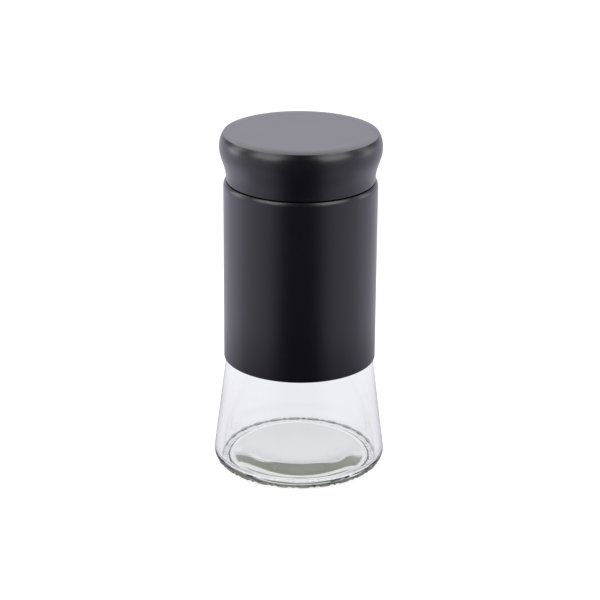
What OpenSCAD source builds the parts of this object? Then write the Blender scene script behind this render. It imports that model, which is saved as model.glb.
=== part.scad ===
// Pepper mill that is turned upside down to grind. A flared glass jar is the grip, the black
// sleeve above it turns the ring burr, and a lift-off cap covers the burrs and the grind adjuster.
// Origin: centre of the face that the jar stands on. +Z points up to the cap.

/* [Glass jar] */
// Largest radius of the flared foot
foot_r = 32.5; // [31:0.5:36]
// Radius of the rounded heel under the foot
heel_r = 3; // [2:0.25:4]
// Height of glass that shows below the sleeve
show_h = 42.2; // [36:0.2:50]
// Gap between the glass and the sleeve's lower edge
jar_gap = 0.4; // [0.3:0.05:0.6]
// Height of the jar up to its rim
jar_h = 94; // [90:0.5:100]
// Thickness of the jar's side wall
jar_wall = 2.8; // [2.2:0.1:3.2]
// Height of the jar's inner floor
floor_h = 5.4; // [4.5:0.1:8]
// Radius of the inner corner between floor and wall
floor_corner = 3.2; // [2:0.2:5]
// Width of the flat ring that the jar stands on
stand_w = 2.1; // [1.5:0.1:3]
// Depth of the hollow under the jar, inside the standing ring
punt_h = 0.8; // [0.5:0.1:1.5]
// Outer radius of the neck
neck_r = 21; // [20:0.1:21.3]
// Wall of the neck
neck_wall = 2.5; // [2:0.1:3]
// Height of the neck above the shoulder
neck_h = 16; // [15:0.5:18]
// Height of the rounded shoulder below the neck
shoulder_h = 4; // [3:0.5:6]
// Lean of the glass inside the sleeve, in degrees
hidden_lean = 7.125; // [6:0.125:7.5]

/* [Jar thread] */
// Rise of the thread in one turn
lead = 4; // [3.5:0.1:4.5]
// Height of the thread's lower end above the foot of the neck
thread_up = 4.5; // [4:0.1:5]
// Height of the ridge on the glass
ridge_h = 1.4; // [1.1:0.1:1.5]
// Width of a ridge at its root
ridge_root_w = 2; // [1.6:0.1:2]
// Width of a ridge at its crest
ridge_crest_w = 0.9; // [0.7:0.1:1]
// Radial clearance between each crest and the wall across from it
thread_gap = 0.4; // [0.3:0.05:0.5]
// Length of each ridge, in degrees of turn
ridge_turn = 450; // [360:10:500]
// How far the collar's ridge starts after the glass ridge, in degrees
ridge_lag = 100; // [90:5:120]

/* [Collar, seal and spider] */
// Thickness of the jar seal
seal_h = 0.8; // [0.6:0.1:1.2]
// Wall of the collar between its thread and the journal
collar_wall = 1.8; // [1.6:0.1:2]
// Height of the collar's lower flange
flange_h = 3.5; // [3:0.25:4.5]
// How far the lower flange stands out from the journal
flange_out = 1.4; // [1.2:0.1:1.5]
// Thickness of the collar's top flange
collar_top_h = 1.5; // [1.2:0.1:2]
// Thickness of the steel spider
spider_h = 1.5; // [1:0.1:2]
// Width of each spider arm
arm_w = 3.2; // [2.5:0.1:4]
// Radius of the spider's hub
hub_r = 5.4; // [5:0.1:6]
// Height of the spider's hub
hub_h = 2; // [1.8:0.1:2.3]

/* [Head bearing] */
// Length of the housing's running bore on the journal
bearing_h = 6.3; // [5:0.1:6.5]
// Thickness of the glide washer
washer_h = 0.8; // [0.6:0.1:1]
// Thickness of the split retaining ring
split_h = 1; // [0.8:0.1:1.2]
// Depth of the retaining ring's groove in the journal
groove_d = 1; // [0.8:0.1:1.1]

/* [Burrs] */
// Outer radius of the ring burr
ring_r = 17.5; // [17:0.1:18]
// Height of the ring burr
ring_h = 9; // [8:0.25:10]
// Bore radius of the ring burr where the corns enter
ring_in_r = 10.5; // [10:0.1:11.5]
// Bore radius of the ring burr where the pepper leaves
ring_out_r = 13.9; // [13.5:0.1:14.2]
// Radius of the inner burr where the corns enter
burr_in_r = 7.6; // [7.4:0.1:8]
// Radial grinding gap at the outlet
grind_gap = 0.6; // [0.5:0.05:0.8]
// Number of grooves in the inner burr
burr_grooves = 12; // [8:1:16]
// Number of grooves in the ring burr
ring_grooves = 18; // [12:1:22]
// Depth of a burr groove
groove_h = 1.1; // [0.8:0.1:1.3]
// Lean of the grooves in the inner burr, in degrees
groove_lean = 16; // [0:1:20]
// Radius of the moulded core in the inner burr
core_r = 6.2; // [6:0.1:6.3]
// Thickness of the core's top flange
core_flange_h = 1; // [0.8:0.1:1.5]
// How far the core's top flange stands out over the inner burr
core_flange_out = 3.8; // [3:0.1:4]

/* [Spindle and spring] */
// Side of the spindle's square shank
shank_w = 5; // [4.6:0.1:5.2]
// Radius of the spindle's threaded end
screw_r = 2.5; // [2:0.1:2.5]
// Height of the spindle's head
head_h = 2.4; // [2:0.1:3]
// Corner radius of the spindle's six-sided head
head_r = 5; // [4.6:0.1:5.4]
// Wire diameter of the spring
wire_d = 0.8; // [0.6:0.05:0.9]
// Mean radius of the spring
coil_r = 4.25; // [4.15:0.05:4.3]
// Turns of the spring
coil_turns = 4; // [3:0.5:5]
// Depth of the spring's pocket in the core
pocket_h = 5; // [4:0.25:6]

/* [Adjuster] */
// Radius of the adjuster knob
knob_r = 8.5; // [7.5:0.25:9.5]
// Height of the adjuster knob
knob_h = 9.6; // [9:0.2:11]
// Number of finger flutes round the knob
knob_flutes = 18; // [12:1:24]
// Radius of a finger flute
flute_r = 0.9; // [0.6:0.1:1.1]
// Corner radius of the six-sided brass nut
nut_r = 4.4; // [4.2:0.1:5]
// Height of the brass nut
nut_h = 5.5; // [4.5:0.25:6]
// Thickness of the steel washer under the nut
burr_washer_h = 0.6; // [0.5:0.1:0.8]

/* [Head] */
// Outer radius of the sleeve
sleeve_r = 28.5; // [28.2:0.1:30]
// Thickness of the sleeve's steel
sleeve_wall = 0.5; // [0.4:0.05:0.6]
// Radius of the sleeve's rounded shoulder
sleeve_round = 2; // [1.5:0.1:2.5]
// Wall of the housing around the burr carrier
housing_wall = 1.3; // [1.2:0.05:1.4]
// Thickness of the burr carrier's floor
carrier_floor = 1.2; // [1:0.1:1.6]
// Thickness of the cover ring
cover_h = 2.3; // [2:0.1:3]
// Bore radius of the cover ring
cover_bore_r = 15.4; // [15.2:0.1:15.8]
// Height of the spigot that the cap fits on
spigot_h = 5.5; // [5:0.1:6]
// Wall of the spigot
spigot_wall = 2.2; // [2:0.1:2.6]
// Width of the cap seal's groove in the spigot
seal_groove_w = 1.6; // [1.4:0.1:1.8]
// Depth of the cap seal's groove in the spigot
seal_groove_d = 1; // [0.8:0.1:1.2]
// Height of the guide ring's lower face above the sleeve's lower edge
guide_up = 14; // [12:0.5:20]
// Height of the guide ring
guide_h = 6; // [4:0.5:8]
// Distance of the cover screws' circle from the ring burr's edge
screw_out = 1.9; // [1.8:0.1:2.1]
// Radius of a cover screw's head
screw_head_r = 1.8; // [1.6:0.1:2]
// Radius of a cover screw's shank
screw_shank_r = 1; // [0.8:0.1:1.2]
// Length of a cover screw below its head
screw_len = 8; // [6:0.5:9]

/* [Cap] */
// Height of the cap above the seam
cap_h = 18.7; // [17:0.1:21]
// How far the cap's lower edge is set in from the sleeve
cap_step = 1; // [0.8:0.1:1.2]
// How far the cap's bulge stands out past the sleeve
cap_bulge = 1.5; // [0.5:0.1:2]
// Radius of the cap's rounded upper rim
cap_round = 4.5; // [3:0.1:5]
// Thickness of the cap's steel
cap_wall = 0.5; // [0.4:0.05:0.7]
// Gap at the seam between cap and sleeve
seam_gap = 0.3; // [0.2:0.05:0.4]
// Wall of the cap's moulded insert
insert_wall = 1.5; // [1.2:0.1:1.8]
// Space between the insert's wall and the cap's lower edge
insert_gap = 1; // [0.8:0.1:1.2]
// Thickness of the insert's foot ring
insert_foot_h = 1.5; // [1:0.1:2]

/* [Hidden] */
$fn = 96;

// Fits and clearances
slack = 0.05;      // pieces that are fitted together and stay together
running = 0.06;    // radial clearance of a shaft that turns or slides in its hole
side_gap = 0.3;    // pieces that pass each other
wide_gap = 0.5;    // faces that pass each other with room
cut = 1;           // how far a cutting solid runs past what it cuts
embed = 0.4;       // how far a ridge's root is sunk in its wall
arc_steps = 8;     // straight steps in a rounded corner
three = 3;         // arms, keys, notches and screws round the axis
key_play = 0.1;    // room beside a key in its notch
arm_turn = 90;     // direction of the first spider arm and of its key
screw_turn = 30;   // direction of the first cover screw
burr_key_turn = 60; // direction of the ring burr's first key

// Sleeve and jar
sleeve_in_r = sleeve_r - sleeve_wall;
line_r = sleeve_in_r - jar_gap;
jar_taper = (foot_r - line_r) / (show_h - heel_r);
neck_z = jar_h - neck_h;
shoulder_z = neck_z - shoulder_h;
neck_in_r = neck_r - neck_wall;
stand_out_r = foot_r - heel_r;
stand_in_r = stand_out_r - stand_w;
thread_z = neck_z + thread_up;

// Stack from the jar's rim up to the seam
spider_z = jar_h + seal_h;
collar_top_z = spider_z + spider_h;
collar_end_z = collar_top_z + collar_top_h;
carrier_z = collar_end_z + wide_gap;
ring_z = carrier_z + carrier_floor;
cover_z = ring_z + ring_h;
head_top_z = cover_z + cover_h;
seam_z = head_top_z + sleeve_wall;
cap_z = seam_z + seam_gap;
hub_z = spider_z + hub_h;

// Collar and head bearing
collar_up = 1.5;
collar_z = neck_z + collar_up;
collar_bore_r = neck_r + ridge_h + thread_gap;
journal_r = collar_bore_r + collar_wall;
flange_r = journal_r + flange_out;
flange_top_z = collar_z + flange_h;
bearing_z = flange_top_z + washer_h + key_play;
bearing_r = journal_r + running;
split_z = bearing_z + bearing_h + side_gap;
split_out = 0.7;
split_r = bearing_r + split_out;
key_w = 2.4;
spider_key_out = 0.8;
spider_key_r = collar_bore_r + spider_key_out;

// Housing, carrier and cover
housing_r = sleeve_in_r - slack;
skirt_drop = 1;
housing_z = collar_z - skirt_drop;
skirt_r = flange_r + side_gap;
split_room_r = split_r + side_gap;
housing_bore_r = housing_r - housing_wall;
carrier_r = housing_bore_r - slack;
carrier_key_out = 0.6;
burr_key_w = 3;
burr_key_in = 1;
seat_w = 3.5;
throat_r = ring_r - seat_w;
screw_pitch_r = ring_r + screw_out;
screw_head_h = 1.2;
screw_head_play = 0.2;

// Inner burr, core and adjuster
burr_low = 0.6;
burr_high = 0.5;
burr_z = ring_z - burr_low;
burr_top_z = cover_z + burr_high;
burr_slope = (ring_out_r - grind_gap - burr_in_r) / ring_h;
burr_out_r = burr_in_r + burr_slope * (burr_top_z - ring_z);
burr_low_r = burr_in_r - burr_slope * (ring_z - burr_z);
core_low = 0.4;
core_z = burr_z - core_low;
core_top_z = burr_top_z + core_flange_h;
core_flange_r = core_r + core_flange_out;
core_key_out = 0.6;
core_key_w = 2;
pocket_r = coil_r + wire_d / 2 + side_gap;
pocket_z = core_z + pocket_h;
shank_low = 0.5;
shank_top_z = core_top_z - shank_low;
nut_z = core_top_z + burr_washer_h + slack;
knob_up = 0.2;
knob_z = nut_z + knob_up;
knob_top_z = knob_z + knob_h;
knob_roof = 3;
screw_top_z = knob_top_z - knob_roof;
well_r = screw_r + 0.5;

// Cap, insert and spigot
cap_foot_r = sleeve_r - cap_step;
cap_r = sleeve_r + cap_bulge;
cap_top_z = seam_z + cap_h;
bulge_z = cap_top_z - cap_round;
cap_skew = 1.2;
insert_r = cap_foot_r - cap_wall - insert_gap;
insert_in_r = insert_r - insert_wall;
spigot_play = 0.2;
spigot_r = insert_in_r - spigot_play;
spigot_top_z = head_top_z + spigot_h;
insert_z = cap_z + slack;
insert_top_z = cap_top_z - cap_wall - slack;
seal_groove_up = 1.9;
seal_groove_z = seam_z + seal_groove_up;

// Points of an arc round [x, z], from angle a to angle b.
function arc(x, z, r, a, b) =
    [for (i = [0:arc_steps]) let (t = a + (b - a) * i / arc_steps) [x + r * cos(t), z + r * sin(t)]];

// Radius of the glass outside at height z, along the flare and then inside the sleeve.
function flare_r(z) =
    z < show_h ? foot_r - jar_taper * (z - heel_r) : line_r - tan(hidden_lean) * (z - show_h);

// Outline of the cap's side from just above its lower edge to its flat top, moved in by d.
function cap_side(d) =
    let (low = cap_z + cap_wall / 2, rise = bulge_z - low, steps = 14)
    concat(
        [for (i = [0:steps]) let (t = i / steps)
            [cap_foot_r - d + (cap_r - cap_foot_r) * (1 - cos(180 * pow(t, cap_skew))) / 2, low + rise * t]],
        arc(cap_r - cap_round, bulge_z, cap_round - d, 90 / arc_steps, 90));

// Triangles of a skin over rings of n points, with m steps from ring to ring.
function skin(n, m) = concat(
    [[for (j = [n - 1:-1:0]) j]],
    [for (i = [0:m - 1], j = [0:n - 1]) each
        [[n * i + j, n * i + (j + 1) % n, n * (i + 1) + (j + 1) % n],
         [n * i + j, n * (i + 1) + (j + 1) % n, n * (i + 1) + j]]],
    [[for (j = [0:n - 1]) n * m + j]]);

function around(r, z, t) = [r * cos(t), r * sin(t), z];

// Thread ridge: its root is at root_r, its crest at crest_r, and both ends fade into the wall.
module ridge(root_r, crest_r, z, from) {
    side = crest_r > root_r ? 1 : -1;
    root = side * ridge_root_w / 2;
    crest = side * ridge_crest_w / 2;
    fade = 20;
    steps = ceil(ridge_turn / 7.5);
    points = [for (i = [0:steps]) let (
            part = ridge_turn * i / steps,
            t = from + part,
            h = z + lead * t / 360,
            full = max(0.1, min(1, part / fade, (ridge_turn - part) / fade)),
            r = root_r + (crest_r - root_r) * full)
        each [around(root_r, h - root, t), around(r, h - crest, t),
              around(r, h + crest, t), around(root_r, h + root, t)]];
    polyhedron(points, skin(4, steps));
}

// Plain ring from r_in to r_out.
module ring(r_in, r_out, z, h) {
    rotate_extrude() translate([r_in, z]) square([r_out - r_in, h]);
}

// Puts three copies of its children round the axis.
module round_three(first = 0) {
    for (i = [0:three - 1]) rotate([0, 0, first + i * 360 / three]) children();
}

// Radial block of width w from radius a to radius b.
module block(a, b, w, z, h) {
    translate([a, -w / 2, z]) cube([b - a, w, h]);
}

// Square bar laid along a burr's cone on its edge, so that it cuts a V-shaped groove.
module groove_bar(r_low, r_high, z, h, lean) {
    slope = atan2(r_high - r_low, h);
    translate([(r_low + r_high) / 2, 0, z + h / 2]) rotate([lean, slope, 0]) rotate([0, 0, 45])
        cube([groove_h * sqrt(2), groove_h * sqrt(2), 3 * h], center = true);
}

module glass_jar() {
    top_r = flare_r(shoulder_z);
    inside_top_z = shoulder_z - 1;
    lip = 0.8;
    outside = concat(
        [[0, punt_h + 0.6], [stand_in_r - punt_h, punt_h], [stand_in_r, 0]],
        arc(foot_r - heel_r, heel_r, heel_r, -90, 0),
        [[line_r, show_h]],
        [for (i = [0:arc_steps]) let (t = 90 * i / arc_steps)
            [neck_r + (top_r - neck_r) * cos(t), shoulder_z + shoulder_h * sin(t)]],
        arc(neck_r - lip, jar_h - lip, lip, 0, 90));
    corner_z = floor_h + floor_corner;
    corner_r = flare_r(corner_z) - jar_wall;
    inner_top_r = flare_r(inside_top_z) - jar_wall;
    inside = concat(
        arc(neck_in_r + lip, jar_h - lip, lip, 90, 180),
        [for (i = [arc_steps:-1:0]) let (t = 90 * i / arc_steps)
            [neck_in_r + (inner_top_r - neck_in_r) * cos(t), inside_top_z + shoulder_h * sin(t)]],
        [[line_r - jar_wall, show_h]],
        arc(corner_r - floor_corner, corner_z, floor_corner, 0, -90),
        [[0, floor_h]]);
    color([0.85, 0.9, 0.92, 0.4]) union() {
        rotate_extrude() polygon(concat(outside, inside));
        ridge(neck_r - embed, neck_r + ridge_h, thread_z, 0);
    }
}

module jar_seal() {
    color("gainsboro") ring(neck_in_r + 0.1, neck_r + side_gap, jar_h, seal_h);
}

module screw_collar() {
    throat = neck_in_r + 0.5;
    color("dimgray") union() {
        difference() {
            rotate_extrude() difference() {
                union() {
                    translate([collar_bore_r, collar_z])
                        square([journal_r - collar_bore_r, collar_end_z - collar_z]);
                    translate([collar_bore_r, collar_z]) square([flange_r - collar_bore_r, flange_h]);
                    translate([throat, collar_top_z]) square([journal_r - throat, collar_top_h]);
                }
                translate([journal_r - groove_d, split_z - key_play])
                    square([groove_d + cut, split_h + 2 * key_play]);
            }
            round_three(arm_turn) block(collar_bore_r - cut, spider_key_r + key_play, key_w + 2 * key_play,
                spider_z - key_play, spider_h + key_play);
        }
        ridge(collar_bore_r + embed, collar_bore_r - ridge_h, thread_z - lead / 2, ridge_lag);
    }
}

module spindle_spider() {
    rim_r = collar_bore_r - 0.2;
    arm_end = neck_in_r + 1;
    color("silver") difference() {
        union() {
            ring(neck_in_r + 0.2, rim_r, spider_z, spider_h);
            round_three(arm_turn) block(hub_r - 1, arm_end, arm_w, spider_z, spider_h);
            round_three(arm_turn) block(rim_r - 1, spider_key_r, key_w, spider_z, spider_h);
            translate([0, 0, spider_z]) cylinder(r = hub_r, h = hub_h);
        }
        square_hole(shank_w + 2 * slack, spider_z - cut, hub_h + 2 * cut);
    }
}

module square_hole(w, z, h) {
    translate([-w / 2, -w / 2, z]) cube([w, w, h]);
}

module spindle() {
    tip = 0.5;
    color("silver") union() {
        translate([0, 0, spider_z - head_h]) cylinder(r = head_r, h = head_h, $fn = 6);
        square_hole(shank_w, spider_z - 0.2, shank_top_z - spider_z + 0.2);
        rotate_extrude() polygon([[0, shank_top_z - 0.2], [screw_r, shank_top_z - 0.2],
            [screw_r, screw_top_z - tip], [screw_r - tip, screw_top_z], [0, screw_top_z]]);
    }
}

// Round wire wound from the hub up to the roof of the core's pocket.
module burr_spring() {
    low = hub_z + slack + wire_d / 2;
    high = pocket_z - slack - wire_d / 2;
    sides = 8;
    steps = ceil(coil_turns * 18);
    points = [for (i = [0:steps], j = [0:sides - 1]) let (
            t = 360 * coil_turns * i / steps,
            a = 360 * (j + 0.5) / sides)
        around(coil_r + wire_d / 2 * cos(a), low + (high - low) * i / steps + wire_d / 2 * sin(a), t)];
    color("lightgray") polyhedron(points, skin(sides, steps));
}

module glide_washer() {
    color("ivory") ring(journal_r + running, flange_r - 0.2, flange_top_z, washer_h);
}

// Split ring that snaps into the journal's groove above the housing's running bore.
module retaining_ring() {
    split = 3;
    color("silver") difference() {
        ring(journal_r - groove_d + slack, split_r, split_z, split_h);
        block(journal_r - groove_d - cut, split_r + cut, split, split_z - cut, split_h + 2 * cut);
    }
}

module inner_burr() {
    height = burr_top_z - burr_z;
    color("white") difference() {
        rotate_extrude() polygon([[core_r + slack, burr_z], [burr_low_r, burr_z],
            [burr_out_r, burr_top_z], [core_r + slack, burr_top_z]]);
        for (i = [0:burr_grooves - 1]) rotate([0, 0, i * 360 / burr_grooves])
            groove_bar(burr_low_r, burr_out_r, burr_z, height, groove_lean);
        block(0, core_r + core_key_out + slack, core_key_w + 2 * slack, burr_z - cut, height + 2 * cut);
    }
}

module burr_core() {
    color("dimgray") difference() {
        union() {
            rotate_extrude() polygon([[0, core_z], [core_r, core_z], [core_r, burr_top_z],
                [core_flange_r, burr_top_z], [core_flange_r, core_top_z], [0, core_top_z]]);
            block(core_r - 1, core_r + core_key_out, core_key_w, burr_z, burr_top_z - burr_z + 0.1);
        }
        square_hole(shank_w + 2 * running, core_z - cut, core_top_z - core_z + 2 * cut);
        translate([0, 0, core_z - cut]) cylinder(r = pocket_r, h = pocket_h + cut);
    }
}

module burr_washer() {
    color("silver") ring(screw_r + 0.1, core_r + 0.3, core_top_z, burr_washer_h);
}

module adjuster_nut() {
    color("goldenrod") difference() {
        translate([0, 0, nut_z]) cylinder(r = nut_r, h = nut_h, $fn = 6);
        translate([0, 0, nut_z - cut]) cylinder(r = screw_r + running, h = nut_h + 2 * cut);
    }
}

module adjuster_knob() {
    edge = 1.2;
    dish_r = knob_r - 2.6;
    dish_d = 0.8;
    color([0.16, 0.16, 0.17]) difference() {
        rotate_extrude() polygon(concat([[0, knob_z], [knob_r - 0.5, knob_z], [knob_r, knob_z + 0.5]],
            arc(knob_r - edge, knob_top_z - edge, edge, 0, 90),
            [[dish_r, knob_top_z], [dish_r - dish_d, knob_top_z - dish_d], [0, knob_top_z - dish_d]]));
        for (i = [0:knob_flutes - 1]) rotate([0, 0, i * 360 / knob_flutes])
            translate([knob_r + flute_r / 2, 0, knob_z - cut]) cylinder(r = flute_r, h = knob_h + 2 * cut);
        translate([0, 0, knob_z - cut])
            cylinder(r = nut_r + slack, h = nut_z + nut_h + slack - knob_z + cut, $fn = 6);
        translate([0, 0, knob_z]) cylinder(r = well_r, h = screw_top_z + 1 - knob_z);
        block(dish_r - dish_d - 3, dish_r - dish_d, 0.8, knob_top_z - dish_d - 0.4, cut);
    }
}

module head_housing() {
    corner = sleeve_round - sleeve_wall + 0.1;
    ledge_z = bearing_z + bearing_h;
    color([0.2, 0.2, 0.21]) difference() {
        rotate_extrude() polygon(concat(
            [[skirt_r, housing_z], [housing_r, housing_z]],
            arc(housing_r - corner, head_top_z - corner, corner, 0, acos(max(0, 1 - housing_wall / corner))),
            [[housing_bore_r, carrier_z], [split_room_r, carrier_z],
             [split_room_r, ledge_z], [bearing_r, ledge_z], [bearing_r, bearing_z], [skirt_r, bearing_z]]));
        round_three()
            block(housing_bore_r - cut, carrier_r + carrier_key_out + key_play, key_w + 2 * key_play,
                carrier_z, head_top_z - carrier_z + cut);
    }
}

// Deep-drawn sleeve: a tube with a rounded shoulder and an inward flange at its top.
module head_sleeve() {
    in_round = sleeve_round - sleeve_wall;
    hole_r = spigot_r + 0.2;
    edge = sleeve_wall / 2;
    color([0.1, 0.1, 0.11]) rotate_extrude() polygon(concat(
        arc(sleeve_r - edge, show_h + edge, edge, 180, 360),
        arc(sleeve_r - sleeve_round, seam_z - sleeve_round, sleeve_round, 0, 90),
        [[hole_r, seam_z], [hole_r, head_top_z]],
        arc(sleeve_in_r - in_round, head_top_z - in_round, in_round, 90, 0)));
}

module guide_ring() {
    low = show_h + guide_up;
    color([0.25, 0.25, 0.26]) ring(flare_r(low) + jar_gap, sleeve_in_r - slack, low, guide_h);
}

module burr_carrier() {
    height = cover_z - carrier_z;
    core_out = 1.4;
    core_in_r = screw_pitch_r + 2;
    rib = 3;
    cores = 12;
    color("gray") difference() {
        union() {
            rotate_extrude() polygon([[throat_r, carrier_z], [carrier_r, carrier_z], [carrier_r, cover_z],
                [ring_r + slack, cover_z], [ring_r + slack, ring_z], [throat_r, ring_z]]);
            round_three(burr_key_turn)
                block(ring_r - burr_key_in + slack, ring_r + 1, burr_key_w, ring_z - 0.1, ring_h + 0.1);
            round_three() block(carrier_r - 1, carrier_r + carrier_key_out, key_w, carrier_z, height);
        }
        round_three(screw_turn) translate([screw_pitch_r, 0, cover_z - screw_len])
            cylinder(r = screw_shank_r + slack, h = screw_len + cut);
        for (i = [0:cores - 1]) rotate([0, 0, i * 360 / cores + rib])
            rotate_extrude(angle = 360 / cores - 2 * rib) translate([core_in_r, carrier_z + core_out])
                square([carrier_r - core_out - core_in_r, height]);
    }
}

module ring_burr() {
    color("white") difference() {
        rotate_extrude() polygon([[ring_in_r, ring_z], [ring_r, ring_z], [ring_r, cover_z],
            [ring_out_r, cover_z]]);
        for (i = [0:ring_grooves - 1]) rotate([0, 0, i * 360 / ring_grooves])
            groove_bar(ring_in_r, ring_out_r, ring_z, ring_h, 0);
        round_three(burr_key_turn)
            block(ring_r - burr_key_in, ring_r + cut, burr_key_w + 2 * slack, ring_z - cut, ring_h + 2 * cut);
    }
}

// Holds the ring burr down, and its spigot carries the cap.
module cover_ring() {
    bowl_r = spigot_r - spigot_wall;
    disc_r = sleeve_r - sleeve_round - 0.2;
    lip = 0.5;
    color([0.2, 0.2, 0.21]) difference() {
        rotate_extrude() polygon([[cover_bore_r, cover_z], [disc_r, cover_z], [disc_r, head_top_z],
            [spigot_r, head_top_z], [spigot_r, seal_groove_z], [spigot_r - seal_groove_d, seal_groove_z],
            [spigot_r - seal_groove_d, seal_groove_z + seal_groove_w],
            [spigot_r, seal_groove_z + seal_groove_w], [spigot_r, spigot_top_z - lip],
            [spigot_r - lip, spigot_top_z], [bowl_r, spigot_top_z], [bowl_r, head_top_z],
            [cover_bore_r + 1, head_top_z], [cover_bore_r, head_top_z - 1]]);
        round_three(screw_turn) translate([screw_pitch_r, 0, cover_z - cut])
            cylinder(r = screw_shank_r + slack, h = cover_h + 2 * cut);
        round_three(screw_turn) translate([screw_pitch_r, 0, head_top_z])
            cylinder(r = screw_head_r + screw_head_play, h = screw_head_h + screw_head_play);
    }
}

module cover_screws() {
    head = screw_head_h;
    dome = 0.3;
    color("silver") round_three(screw_turn) translate([screw_pitch_r, 0, head_top_z]) difference() {
        rotate_extrude() polygon([[0, -screw_len + cover_h], [screw_shank_r - dome, -screw_len + cover_h],
            [screw_shank_r, -screw_len + cover_h + dome], [screw_shank_r, 0], [screw_head_r, 0],
            [screw_head_r, head - dome], [screw_head_r - dome, head], [0, head]]);
        translate([0, 0, head / 3]) cylinder(r = screw_head_r / 2, h = head, $fn = 6);
    }
}

module cap_seal() {
    fit = 0.1;
    color("dimgray") ring(spigot_r - seal_groove_d + slack, insert_in_r - running, seal_groove_z + fit,
        seal_groove_w - 2 * fit);
}

module cap_shell() {
    edge = cap_wall / 2;
    side = cap_side(0);
    inside = cap_side(cap_wall);
    color([0.1, 0.1, 0.11]) rotate_extrude() polygon(concat(side, [[0, cap_top_z], [0, cap_top_z - cap_wall]],
        [for (i = [len(inside) - 1:-1:1]) inside[i]], arc(cap_foot_r - edge, cap_z + edge, edge, 180, 350)));
}

// Moulded cup inside the cap. Its foot ring is bonded in the shell, and its bore grips the spigot.
module cap_insert() {
    roof = 1.2;
    edge = 1;
    foot_out_r = cap_foot_r - cap_wall - slack;
    color([0.25, 0.25, 0.26]) rotate_extrude() polygon([[insert_in_r, insert_z], [foot_out_r, insert_z],
        [foot_out_r, insert_z + insert_foot_h], [insert_r, insert_z + insert_foot_h],
        [insert_r, insert_top_z - cap_round], [insert_r - cap_round + edge, insert_top_z - edge],
        [insert_r - cap_round + edge, insert_top_z], [0, insert_top_z], [0, insert_top_z - roof],
        [insert_in_r - cap_round + edge, insert_top_z - roof],
        [insert_in_r, insert_top_z - cap_round - roof / 2]]);
}

glass_jar();
jar_seal();
screw_collar();
spindle_spider();
spindle();
burr_spring();
glide_washer();
retaining_ring();
inner_burr();
burr_core();
burr_washer();
adjuster_knob();
adjuster_nut();
head_housing();
head_sleeve();
guide_ring();
burr_carrier();
ring_burr();
cover_ring();
cover_screws();
cap_shell();
cap_insert();
cap_seal();
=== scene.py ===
# %% [markdown]
# # A pepper mill, dressed over its CAD frame
#
# The mill is a clear glass jar that is also the foot, a tall head in satin black
# paint that screws on to the jar's neck, and a black cap that lifts off the head.
# The frame brings every CAD solid in at its place. Each cell below models a finer
# piece that takes over from a solid, or gives a solid a better finish.

# %% Load the frame
import math

import bmesh
import bpy
from mathutils import Matrix, Vector


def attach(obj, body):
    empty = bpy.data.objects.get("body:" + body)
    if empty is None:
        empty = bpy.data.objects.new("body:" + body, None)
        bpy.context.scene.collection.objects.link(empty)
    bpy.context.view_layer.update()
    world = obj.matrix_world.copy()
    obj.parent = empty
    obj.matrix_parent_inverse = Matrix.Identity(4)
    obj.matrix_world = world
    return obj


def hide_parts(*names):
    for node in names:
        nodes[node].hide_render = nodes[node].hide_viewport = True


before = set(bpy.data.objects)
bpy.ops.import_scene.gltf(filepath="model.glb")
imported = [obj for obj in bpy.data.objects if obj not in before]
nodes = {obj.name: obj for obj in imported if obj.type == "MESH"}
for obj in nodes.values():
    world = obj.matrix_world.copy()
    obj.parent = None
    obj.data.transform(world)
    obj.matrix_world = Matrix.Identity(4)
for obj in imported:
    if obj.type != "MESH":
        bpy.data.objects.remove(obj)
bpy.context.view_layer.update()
MM = 0.001
scene = bpy.context.scene

# %% [markdown]
# ## The camera
#
# A long lens from well back keeps the tall jar's sides nearly parallel. The camera
# looks down on the cap a little, so the round cap top and the floor of the jar both
# show. It could be aimed with a Track To constraint, but a plain rotation also holds
# the slight tilt of the camera about its own axis. Glass needs many bounces.

# %% Camera
CAMERA_PLACE = (0.05, -737.9, 346.8)
LOOKS_DOWN = math.radians(20.98)
TILT = math.radians(0.433)
LENS = 126.33
GLASS_BOUNCES, PAINT_BOUNCES = 24, 16

bpy.ops.object.camera_add(location=[v * MM for v in CAMERA_PLACE])
camera = bpy.context.object
camera.name = "studio_camera"
camera.data.lens = LENS
camera.data.clip_start = 0.01
aim = Matrix.Rotation(math.pi / 2 - LOOKS_DOWN, 4, "X") @ Matrix.Rotation(TILT, 4, "Z")
camera.rotation_euler = aim.to_euler()
scene.camera = camera
scene.view_settings.view_transform = "Standard"
scene.cycles.max_bounces = scene.cycles.transmission_bounces = GLASS_BOUNCES
scene.cycles.glossy_bounces = PAINT_BOUNCES
print("camera lens", round(camera.data.lens, 1), "mm, bounces", scene.cycles.max_bounces)

# %% [markdown]
# ## What stands round the mill
#
# Black paint and clear glass show little of their own colour: they show the room. A
# studio for them is a white tent with an opening at the front, where the camera
# stands, so a polished pillar is dark along its middle and pale along both sides.
# The tent could be modelled from sheets. Here it is a pattern over directions
# instead, in a node group, because the sky and the floor both need the same one.

# %% Tools for node trees
def new_group(name, inputs, outputs):
    """An empty node group with named sockets."""
    group = bpy.data.node_groups.new(name, "ShaderNodeTree")
    for socket, kind, start in inputs:
        made = group.interface.new_socket(
            socket, in_out="INPUT", socket_type="NodeSocket" + kind)
        if start is not None:
            made.default_value = start
    for socket, kind in outputs:
        group.interface.new_socket(socket, in_out="OUTPUT", socket_type="NodeSocket" + kind)
    return group, group.nodes.new("NodeGroupInput"), group.nodes.new("NodeGroupOutput")


def add_node(tree, kind):
    """A new shader node in a tree."""
    return tree.nodes.new("ShaderNode" + kind)


def feed(tree, socket, value):
    """Sets an input to a value, or links it where the value is a socket."""
    if isinstance(value, bpy.types.NodeSocket):
        tree.links.new(value, socket)
    else:
        socket.default_value = value


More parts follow.
